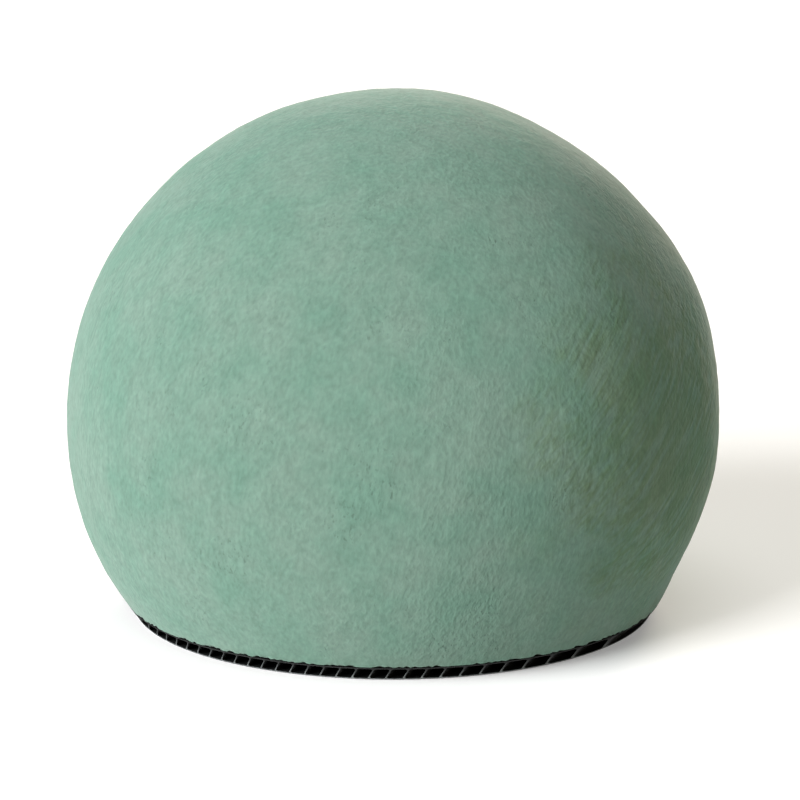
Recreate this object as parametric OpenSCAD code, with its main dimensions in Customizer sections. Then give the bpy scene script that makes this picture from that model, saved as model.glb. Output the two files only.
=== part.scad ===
// Floral foam ball with a flat base. A ball of wet foam is cut flat near its bottom and is
// bonded, with beads of hot-melt glue, to a round base of fluted twin-wall plastic board.
// The board's edge follows the ball, so the two make one continuous outline.
// Millimetres. The origin is the centre of the base's underside, and +Z is up.

/* [Ball] */
// Diameter of the ball that the foam and the board's edge both follow
ball_d = 230; // [200:1:300]
// Height of the ball's centre above the surface that it stands on
centre_h = 69; // [50:0.5:75]

/* [Base board] */
// Thickness of the twin-wall board
board_t = 5; // [3:0.5:8]
// Thickness of each of the board's two skins
skin_t = 0.4; // [0.3:0.05:0.8]
// Thickness of the webs that join the skins, measured across the flutes
web_t = 0.35; // [0.3:0.05:0.8]
// Distance from one web to the next
flute_pitch = 5.5; // [4:0.5:12]
// Direction of the flutes in plan, anticlockwise from +X
flute_angle = 66.5; // [0:0.5:180]
// Lean of the webs from upright, as extruded
web_lean = 36; // [0:1:40]
// Distance from the board's centre to its nearest web
first_web = 2.6; // [0:0.1:3]
// Radius of the fillets where the webs meet the skins
web_fillet = 0.5; // [0.1:0.1:0.7]

/* [Glue] */
// Thickness of the squeezed glue, which is also the gap between foam and board
glue_t = 0.3; // [0.2:0.1:0.6]
// Width of each squeezed bead
bead_w = 9; // [4:0.5:10]
// Distance from the base's lower edge in to the middle of the outer bead
bead_inset = 12; // [8:1:16]
// Diameter of the dab at the centre
dab_d = 16; // [8:1:16]

/* [Hidden] */
ball_r = ball_d / 2;
base_r = sqrt(ball_r * ball_r - centre_h * centre_h);
foam_z = board_t + glue_t;
flute_h = board_t - 2 * skin_t;
// How far a web's top stands to one side of its foot
lean_shift = flute_h * tan(web_lean);
// Flutes on each side of the centre, enough to cross the whole ball
side_flutes = ceil(ball_r / flute_pitch);
// The three rings of glue share the base's radius evenly
ring_step = (base_r - bead_inset) / 3;
arc_steps = 180;
round_steps = 24;
fillet_steps = 4;

// The slice of the ball between two heights
module ball_slice(z0, z1) {
  intersection() {
    translate([0, 0, centre_h]) sphere(d = ball_d, $fn = arc_steps);
    translate([0, 0, z0]) cylinder(d = 2 * ball_d, h = z1 - z0, $fn = arc_steps);
  }
}

function unit(v) = v / norm(v);
function heading(v) = atan2(v[1], v[0]);
// The shorter way round from one heading to another, in degrees
function turn(a, b) = (b - a + 540) % 360 - 180;

// Points of the arc that rounds the corner at p, between the corners before and after it
function rounded_corner(before, p, after, r) =
  let (
    u = unit(before - p),
    v = unit(after - p),
    middle = p + unit(u + v) * r / sin(acos(u * v) / 2),
    from = heading(p + u * ((middle - p) * u) - middle),
    to = heading(p + v * ((middle - p) * v) - middle)
  )
  [for (k = [0 : fillet_steps])
    middle + r * [cos(from + turn(from, to) * k / fillet_steps),
                  sin(from + turn(from, to) * k / fillet_steps)]];

// Section of one flute, between two leaning webs, with its four corners rounded
module flute_section() {
  half = (flute_pitch - web_t) / 2;
  corners = [
    [-half - lean_shift / 2, -flute_h / 2],
    [half - lean_shift / 2, -flute_h / 2],
    [half + lean_shift / 2, flute_h / 2],
    [-half + lean_shift / 2, flute_h / 2]
  ];
  polygon([for (i = [0 : 3])
    each rounded_corner(corners[(i + 3) % 4], corners[i], corners[(i + 1) % 4], web_fillet)]);
}

// All of the flutes, as long prisms that run out through the board's edge on both sides
module flutes() {
  translate([0, 0, board_t / 2])
    rotate([0, 0, flute_angle - 90])
      for (i = [-side_flutes : side_flutes])
        translate([(i + 0.5) * flute_pitch - first_web, 0, 0])
          rotate([90, 0, 0])
            linear_extrude(height = 2 * ball_d, center = true) flute_section();
}

// A flattened bead of glue with rounded edges, laid as a ring
module glue_ring(mean_r) {
  color("ivory")
    translate([0, 0, board_t + glue_t / 2])
      rotate_extrude($fn = arc_steps)
        translate([mean_r, 0]) {
          square([bead_w - glue_t, glue_t], center = true);
          for (side = [-1, 1])
            translate([side * (bead_w - glue_t) / 2, 0]) circle(d = glue_t, $fn = round_steps);
        }
}

// The foam: the ball from its flat cut up
module foam_ball() {
  color([0.55, 0.68, 0.6]) ball_slice(foam_z, ball_d);
}

// The base: a disc of twin-wall board, open at the ends of its flutes
module base_board() {
  color([0.05, 0.05, 0.055])
    difference() {
      ball_slice(0, board_t);
      flutes();
    }
}

module glue_ring_outer() { glue_ring(3 * ring_step); }
module glue_ring_middle() { glue_ring(2 * ring_step); }
module glue_ring_inner() { glue_ring(ring_step); }

// A dab of glue squeezed flat at the centre
module glue_dab_centre() {
  color("ivory")
    translate([0, 0, board_t + glue_t / 2])
      rotate_extrude($fn = arc_steps) {
        translate([0, -glue_t / 2]) square([(dab_d - glue_t) / 2, glue_t]);
        translate([(dab_d - glue_t) / 2, 0]) circle(d = glue_t, $fn = round_steps);
      }
}

foam_ball();
base_board();
glue_ring_outer();
glue_ring_middle();
glue_ring_inner();
glue_dab_centre();
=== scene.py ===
import math
import random

import bpy
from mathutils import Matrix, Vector
from mathutils.kdtree import KDTree


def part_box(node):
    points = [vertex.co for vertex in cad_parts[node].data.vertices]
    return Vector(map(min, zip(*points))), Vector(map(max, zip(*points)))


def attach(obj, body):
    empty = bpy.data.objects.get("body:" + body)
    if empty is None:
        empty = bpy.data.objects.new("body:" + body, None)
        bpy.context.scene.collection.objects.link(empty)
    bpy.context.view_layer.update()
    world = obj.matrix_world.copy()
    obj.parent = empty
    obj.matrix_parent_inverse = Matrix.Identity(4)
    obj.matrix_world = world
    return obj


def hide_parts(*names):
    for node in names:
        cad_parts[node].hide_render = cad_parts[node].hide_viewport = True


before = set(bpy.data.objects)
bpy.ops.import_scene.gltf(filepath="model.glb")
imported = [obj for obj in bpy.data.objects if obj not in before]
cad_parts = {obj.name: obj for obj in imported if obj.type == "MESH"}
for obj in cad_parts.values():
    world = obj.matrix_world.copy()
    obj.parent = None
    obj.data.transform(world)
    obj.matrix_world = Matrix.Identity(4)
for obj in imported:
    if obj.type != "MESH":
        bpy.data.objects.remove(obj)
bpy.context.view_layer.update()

# ---- Camera ------------------------------------------------------------------------------------
# A long lens, eighteen ball radii away and about fifteen degrees up, aimed a little above and to
# the right of the ball's centre. The ball's radius and centre come from the foam's crown and width.
foam_low, foam_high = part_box("foam_ball")
ball_radius = round((foam_high.y - foam_low.y) / 2, 3)
ball_centre = Vector((0, 0, foam_high.z - ball_radius))
camera_tilt = math.radians(14.7)
camera_distance = 18 * ball_radius
aim_right = 0.0024
aim_up = 0.0053
aim = ball_centre + Vector((aim_right, 0, aim_up / math.cos(camera_tilt)))
towards_camera = Vector((0, -math.cos(camera_tilt), math.sin(camera_tilt)))
bpy.ops.object.camera_add(location=aim + camera_distance * towards_camera)
camera = bpy.context.object
camera.name = "studio_camera"
camera.rotation_euler = (math.pi / 2 - camera_tilt, 0, 0)
camera.data.lens = 263.7
camera.data.clip_start = 0.1
camera.data.clip_end = 50
scene = bpy.context.scene
scene.camera = camera
scene.view_settings.view_transform = "Standard"

# ---- Floor -------------------------------------------------------------------------------------
# A plain white light table, faintly lit from within so that shadows on it stay pale. It lies a
# fifth of a millimetre under the base, so that the two faces don't fight.
floor_size = 14
floor_gap = 0.0002
bpy.ops.mesh.primitive_plane_add(size=floor_size, location=(0, 0, -floor_gap))
floor = bpy.context.object
floor.name = "studio_floor"
floor_paint = bpy.data.materials.new("white_light_table")
floor_paint.use_nodes = True
floor_shader = floor_paint.node_tree.nodes["Principled BSDF"]
floor_shader.inputs["Base Color"].default_value = (0.7, 0.7, 0.7, 1)
floor_shader.inputs["Roughness"].default_value = 0.9
floor_shader.inputs["Specular IOR Level"].default_value = 0.1
floor_shader.inputs["Emission Color"].default_value = (1, 1, 1, 1)
floor_shader.inputs["Emission Strength"].default_value = 0.25
floor.data.materials.append(floor_paint)

# ---- Studio light ------------------------------------------------------------------------------
# A large soft box on the left lights the ball, with a weaker one under it. A low warm one fills the
# shaded side, one far behind catches the edges, and one overhead keeps the floor white.
lamp_distance = 4


def soft_box(name, azimuth, elevation, power, width, colour=(1, 1, 1)):
    """A square lamp that faces the ball. Azimuth 0 is in front and 90 on the right."""
    turn, rise = math.radians(azimuth), math.radians(elevation)
    way = Vector((math.sin(turn) * math.cos(rise), -math.cos(turn) * math.cos(rise), math.sin(rise)))
    bpy.ops.object.light_add(type="AREA", location=ball_centre + lamp_distance * way)
    lamp = bpy.context.object
    lamp.name = name
    lamp.data.shape = "SQUARE"
    lamp.data.size = width
    lamp.data.energy = power
    lamp.data.color = colour
    lamp.rotation_euler = way.to_track_quat("Z", "Y").to_euler()


soft_box("key_lamp", -49, 27, 338, 2.6)
soft_box("low_key_lamp", -50, 8, 36, 2.6)
soft_box("fill_lamp", 32, 6, 28, 1.6, (1, 0.86, 0.6))
soft_box("top_lamp", 0, 85, 54, 2.4)
soft_box("rim_lamp", 165, 14, 190, 1.6, (1, 0.91, 0.74))
room = bpy.data.worlds.new("dark_room")
scene.world = room
room.use_nodes = True
room.node_tree.nodes["Background"].inputs["Color"].default_value = (1, 1, 1, 1)
room.node_tree.nodes["Background"].inputs["Strength"].default_value = 0.004

# ---- Foam ball ---------------------------------------------------------------------------------
# Phenolic wet foam, one piece. A block is shaved to a ball by a curved blade and by hand, so the
# ball is slightly uneven, and then cut flat for its base, which leaves a crumbly lower edge.
bpy.ops.object.select_all(action="DESELECT")
bpy.ops.mesh.primitive_ico_sphere_add(subdivisions=1, radius=ball_radius, location=ball_centre)
foam = bpy.context.object
foam.name = "shaved_foam_ball"
bpy.ops.object.mode_set(mode="EDIT")
bpy.ops.mesh.select_all(action="SELECT")
bpy.ops.mesh.subdivide(number_cuts=7)
bpy.ops.mesh.subdivide(number_cuts=12)
bpy.ops.object.mode_set(mode="OBJECT")
rounding = foam.modifiers.new("rounding", "CAST")
rounding.factor = 1
rounding.use_radius_as_size = False
rounding.size = ball_radius
bpy.ops.object.modifier_apply(modifier="rounding")
bpy.ops.object.transform_apply(location=True, rotation=True, scale=True)


def points_of(thing):
    """A finder for the vertices near a spot."""
    finder = KDTree(len(thing.data.vertices))
    for vertex in thing.data.vertices:
        finder.insert(vertex.co, vertex.index)
    finder.balance()
    return finder


def push_foam(finder, spot, move, reach):
    """Moves the foam at spot, and eases what lies within reach along with it."""
    for place, index, gap in finder.find_range(spot, reach):
        near = 1 - gap / reach
        foam.data.vertices[index].co += move * (3 * near**2 - 2 * near**3)


# Where the blade took too much or too little: azimuth, elevation, millimetres out, reach in mm
blade_slips = [
    (68, 36, -1.2, 36),
    (66, 18, -1.9, 38),
    (62, 0, -1.9, 38),
    (50, -20, -1.1, 36),
    (44, 40, 0.5, 32),
    (38, 19, 0.6, 34),
    (32, -1, 0.5, 34),
    (97, 22, 1.6, 42),
    (82, -27, -1.5, 40),
    (112, 55, -0.6, 40),
    (151, 73, 0.5, 40),
    (-84, -21, 0.7, 48),
]
surface = points_of(foam)
for azimuth, elevation, depth, reach in blade_slips:
    turn, rise = math.radians(azimuth), math.radians(elevation)
    way = Vector((math.sin(turn) * math.cos(rise), -math.cos(turn) * math.cos(rise), math.sin(rise)))
    push_foam(surface, ball_centre + ball_radius * way, way * depth / 1000, reach / 1000)

# Hand shaving leaves broad waves, then smaller lumps, then a fine plaster-like surface
for name, size, height in (("waves", 0.07, 0.0008), ("lumps", 0.018, 0.0005), ("plaster", 0.0055, 0.00028)):
    lumps = bpy.data.textures.new("foam_" + name, "CLOUDS")
    lumps.noise_scale = size
    lumps.noise_depth = 2
    shaving = foam.modifiers.new(name, "DISPLACE")
    shaving.texture = lumps
    shaving.texture_coords = "LOCAL"
    shaving.strength = height
    bpy.ops.object.modifier_apply(modifier=name)

# The last 12 mm above the cut ease back to the ball's own surface, so the foot is flush with
# the board
foot = 0.012
for vertex in foam.data.vertices:
    height = abs(vertex.co.z - foam_low.z)
    if height < foot:
        out = vertex.co - ball_centre
        trim = 1 - height / foot
        vertex.co = ball_centre + out * (1 - trim + trim * ball_radius / out.length)

# The flat cut for the base, and a ring just inside it that keeps the crumbling off the flat
ring_width = 0.0015
bpy.ops.object.mode_set(mode="EDIT")
bpy.ops.mesh.select_all(action="SELECT")
bpy.ops.mesh.bisect(
    plane_co=(0, 0, foam_low.z), plane_no=(0, 0, 1), use_fill=True, clear_inner=True, threshold=1e-6
)
bpy.ops.mesh.select_all(action="DESELECT")
bpy.ops.object.mode_set(mode="OBJECT")
underside = max(foam.data.polygons, key=lambda face: face.area)
rim = [foam.data.vertices[index].co.copy() for index in underside.vertices]
underside.select = True
bpy.ops.object.mode_set(mode="EDIT")
bpy.ops.mesh.inset(thickness=ring_width)
bpy.ops.mesh.select_all(action="DESELECT")
bpy.ops.object.mode_set(mode="OBJECT")

# Crumbs lost from the lower edge: small bites up and inward, at random places round it
crumb_count = 260
crumbs = random.Random(11)
surface = points_of(foam)
for bite in range(crumb_count):
    spot = crumbs.choice(rim)
    inward = Vector((-spot.x, -spot.y, 0)).normalized()
    depth = crumbs.uniform(0.05, 0.4) / 1000
    push_foam(surface, spot, Vector((0, 0, depth)) + inward * depth, crumbs.uniform(1, 1.8) / 1000)
bpy.ops.object.shade_smooth_by_angle(angle=math.radians(40))


def add_node(tree, kind, inputs=None, **settings):
    """Adds one shader node. inputs names its sockets, each with a number, a colour or a socket."""
    made = tree.nodes.new("ShaderNode" + kind)
    for name, value in settings.items():
        setattr(made, name, value)
    for name, value in (inputs or {}).items():
        if isinstance(value, bpy.types.NodeSocket):
            tree.links.new(value, made.inputs[name])
        else:
            made.inputs[name].default_value = value
    return made


def noise(tree, where, scale, detail=2, roughness=0.5):
    """Soft random grey, in lumps about 1/scale metres across."""
    sockets = {"Vector": where, "Scale": scale, "Detail": detail, "Roughness": roughness}
    return add_node(tree, "TexNoise", sockets).outputs["Fac"]


def ramp(tree, value, low, high, start=0, end=1, ease="LINEAR"):
    """Turns low to high into start to end, and stops at both."""
    sockets = {"Value": value, "From Min": low, "From Max": high, "To Min": start, "To Max": end}
    return add_node(tree, "MapRange", sockets, interpolation_type=ease).outputs["Result"]


def times(tree, first, second):
    return add_node(tree, "Math", {0: first, 1: second}, operation="MULTIPLY").outputs["Value"]


def add_share(tree, total, share, extra):
    """The total plus a share of something extra."""
    sockets = {0: extra, 1: share, 2: total}
    return add_node(tree, "Math", sockets, operation="MULTIPLY_ADD").outputs["Value"]


def blend(tree, share, first, second, way="MIX"):
    """Goes from the first colour to the second by share."""
    sockets = {"Factor": share, 6: first, 7: second}
    return add_node(tree, "Mix", sockets, data_type="RGBA", blend_type=way).outputs[2]


def drawn_out(tree, where, turns, sizes):
    """Turns the pattern, in degrees, and draws it out to sizes along its own three axes."""
    sockets = {"Vector": where, "Rotation": [math.radians(turn) for turn in turns], "Scale": sizes}
    return add_node(tree, "Mapping", sockets, vector_type="TEXTURE").outputs["Vector"]


def start_material(name):
    """A new material, with its nodes, its shader and a point's place on the piece, in metres."""
    made = bpy.data.materials.new(name)
    made.use_nodes = True
    tree = made.node_tree
    place = add_node(tree, "TexCoord").outputs["Object"]
    return made, tree, tree.nodes["Principled BSDF"], place


foam_look, tree, shader, place = start_material("dry_wet_foam")

# Teal and greyer green, in patches a centimetre or two across
patches = noise(tree, place, 42, 5, 0.6)
greens = add_node(tree, "ValToRGB", {"Fac": patches})
greens.color_ramp.elements[0].position = 0.36
greens.color_ramp.elements[0].color = (0.107, 0.195, 0.152, 1)
greens.color_ramp.elements[1].position = 0.64
greens.color_ramp.elements[1].color = (0.131, 0.205, 0.166, 1)

# A suede-like grain of a millimetre or two, drawn out a little in the direction of shaving, and
# finer burst cells in clusters
shaved = drawn_out(tree, place, (0, 12, 0), (1, 1, 1.6))
grain = noise(tree, shaved, 720, 1.5, 0.45)
powder = noise(tree, place, 2300, 1)
mottle = noise(tree, shaved, 240)
coarse = ramp(tree, noise(tree, place, 26, 3, 0.6), 0.38, 0.64, 0.38, 1.08)
crowd = ramp(tree, noise(tree, place, 55, 3), 0.53, 0.68)
pits = times(tree, ramp(tree, noise(tree, shaved, 900, 1), 0.4, 0.26), crowd)

# Blade marks, 2 mm wide and 3 cm long, run down and to the left over the ball's right side
marks = noise(tree, drawn_out(tree, place, (0, 54, 60), (0.0021, 0.0021, 0.03)), 1)
right_side = ball_centre + ball_radius * Vector((0.86, -0.5, 0.08))
away = add_node(tree, "VectorMath", {0: place, 1: right_side}, operation="DISTANCE").outputs["Value"]
patchy_edge = add_share(tree, away, 0.09, noise(tree, place, 48, 4, 0.6))
worked_and_shaded_side = ramp(tree, patchy_edge, 0.065, 0.13, 1, 0, "SMOOTHSTEP")
strokes = times(tree, marks, worked_and_shaded_side)

# Painted light and shade on the grain: raised grain is painted a little paler, and hollows and
# pits darker. The ball's right side lies in shade, so it gets painted shade, darker and yellower
# in streaks along the blade marks.
shade = ramp(tree, add_share(tree, grain, 0.6, mottle), 0.5, 1.1, 0.86, 1.14)
shaded = add_node(tree, "VectorMath", {0: greens.outputs["Color"], "Scale": shade}, operation="SCALE")
grain_and_pit_painted_shade = blend(tree, times(tree, pits, 0.4), shaded.outputs["Vector"], (0.05, 0.08, 0.062, 1))
# Painted shade: the ball's shaded right side is darkened and yellowed in streaks along the blade marks
painted_side_shade = times(tree, worked_and_shaded_side, ramp(tree, marks, 0.32, 0.68, 0.35, 1.5))
olive_painted_shade = blend(tree, painted_side_shade, (1, 1, 1, 1), (0.78, 0.79, 0.61, 1))
tree.links.new(blend(tree, 1, grain_and_pit_painted_shade, olive_painted_shade, "MULTIPLY"), shader.inputs["Base Color"])

height = times(tree, add_share(tree, grain, 0.06, powder), coarse)
height = add_share(tree, height, 0.65, mottle)
height = add_share(tree, height, -0.3, pits)
height = add_share(tree, height, 1.5, strokes)
relief = add_node(tree, "Bump", {"Height": height, "Distance": 0.00037, "Strength": 1})
tree.links.new(relief.outputs["Normal"], shader.inputs["Normal"])
tree.links.new(ramp(tree, powder, 0, 1, 0.85, 1), shader.inputs["Roughness"])
shader.inputs["Diffuse Roughness"].default_value = 0.6
shader.inputs["Specular IOR Level"].default_value = 0.15
shader.inputs["Sheen Weight"].default_value = 0.1
shader.inputs["Sheen Roughness"].default_value = 0.4

foam.data.materials.append(foam_look)
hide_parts("foam_ball")
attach(foam, "root")

# ---- Base board --------------------------------------------------------------------------------
# Black fluted twin-wall polypropylene, extruded as two skins and leaning webs in one, and cut
# with the ball, so its edge follows the ball. The cut whitens the plastic in a very thin layer.
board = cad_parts["base_board"]
board_low, board_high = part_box("base_board")
flute_angle = 66.5
flute_pitch = 0.0055
board_look, tree, shader, place = start_material("black_twin_wall_plastic")

# The cut edge lies on the ball's surface, and the whitening is under a quarter of a millimetre
# deep. Towards the glued upper skin, under the foam's edge, it fades out as painted shade.
away = add_node(tree, "VectorMath", {0: place, 1: ball_centre}, operation="DISTANCE").outputs["Value"]
cut = ramp(tree, away, ball_radius - 0.00025, ball_radius - 0.0001)
torn = ramp(tree, noise(tree, place, 900, 3), 0.3, 0.7, 0.35, 1)
height = add_node(tree, "SeparateXYZ", {"Vector": place}).outputs["Z"]
# Painted shade under the foam's edge: the whitening fades out towards the upper skin
painted_shade_under_foam = ramp(tree, height, board_low.z + 0.0008, board_high.z - 0.0006, 1, 0.03)
whitening_less_in_painted_shade = times(tree, times(tree, cut, torn), painted_shade_under_foam)
tint = blend(tree, whitening_less_in_painted_shade, (0.011, 0.012, 0.012, 1), (0.18, 0.196, 0.2, 1))
tree.links.new(tint, shader.inputs["Base Color"])

# Extrusion lines run along the flutes, in the surface and in its gloss. Each web leaves a faint
# sink line in the skins.
along = drawn_out(tree, place, (0, 0, flute_angle), (0.08, 0.0012, 0.0012))
across = drawn_out(tree, place, (0, 0, flute_angle), (1, 1, 1))
wave = {"Vector": across, "Scale": math.pi / 10 / flute_pitch}
sinks = add_node(tree, "TexWave", wave, bands_direction="Y")
height = add_share(tree, noise(tree, along, 1), 0.5, sinks.outputs["Fac"])
relief = add_node(tree, "Bump", {"Height": height, "Distance": 0.00008, "Strength": 1})
tree.links.new(relief.outputs["Normal"], shader.inputs["Normal"])
scuffs = ramp(tree, noise(tree, along, 1, 4, 0.7), 0.3, 0.7, 0.4, 0.58)
tree.links.new(add_share(tree, scuffs, 0.4, cut), shader.inputs["Roughness"])
shader.inputs["Specular IOR Level"].default_value = 0.25
board.data.materials.clear()
board.data.materials.append(board_look)

# ---- Glue --------------------------------------------------------------------------------------
# Hot-melt glue in three rings and a dab, squeezed thin between board and foam as the two are
# pressed together. It is milky, smooth and faintly rippled, with small bubbles.
glue_look, tree, shader, place = start_material("milky_hot_melt_glue")
cloud = noise(tree, place, 120, 3)
tint = blend(tree, cloud, (0.70, 0.61, 0.42, 1), (0.86, 0.82, 0.68, 1))
tree.links.new(tint, shader.inputs["Base Color"])
bubbles = add_node(tree, "TexVoronoi", {"Vector": place, "Scale": 400}).outputs["Distance"]
height = add_share(tree, cloud, 0.3, bubbles)
relief = add_node(tree, "Bump", {"Height": height, "Distance": 0.0001, "Strength": 1})
tree.links.new(relief.outputs["Normal"], shader.inputs["Normal"])
tree.links.new(ramp(tree, cloud, 0.3, 0.7, 0.22, 0.36), shader.inputs["Roughness"])
shader.inputs["Subsurface Weight"].default_value = 0.3
shader.inputs["Subsurface Scale"].default_value = 0.002
for name in ("glue_ring_outer", "glue_ring_middle", "glue_ring_inner", "glue_dab_centre"):
    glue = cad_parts[name]
    glue.data.materials.clear()
    glue.data.materials.append(glue_look)
